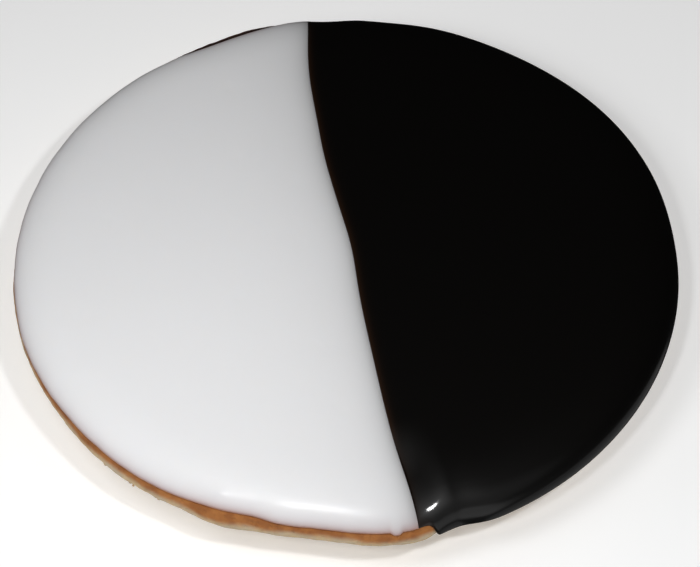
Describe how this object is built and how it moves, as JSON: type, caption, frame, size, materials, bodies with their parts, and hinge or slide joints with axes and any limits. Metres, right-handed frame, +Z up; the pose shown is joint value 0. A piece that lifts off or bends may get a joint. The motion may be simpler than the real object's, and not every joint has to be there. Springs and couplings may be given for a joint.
{
  "type": "black and white cookie",
  "caption": "Round soft cake-like cookie with a flat top, covered half in glossy dark icing and half in white icing, resting on its domed underside.",
  "frame": {"origin": "middle of the cookie's box, on the surface that it rests on", "axes": "+Z up, out of the iced face; +Y along the seam between the two icings, away from the picture's camera; +X towards the dark half"},
  "size_m": [0.1164, 0.1186, 0.0173],
  "materials": {
    "cake": "golden-brown baked crust, matt, paler and crumbly below",
    "white_icing": "smooth white sugar icing, satin, slightly translucent at its edges",
    "black_icing": "near-black chocolate icing, glossy, dark brown where it is thin"
  },
  "bodies": {
    "root": {"cake": "cake", "white_icing": "white_icing", "black_icing": "black_icing"}
  },
  "joints": []
}
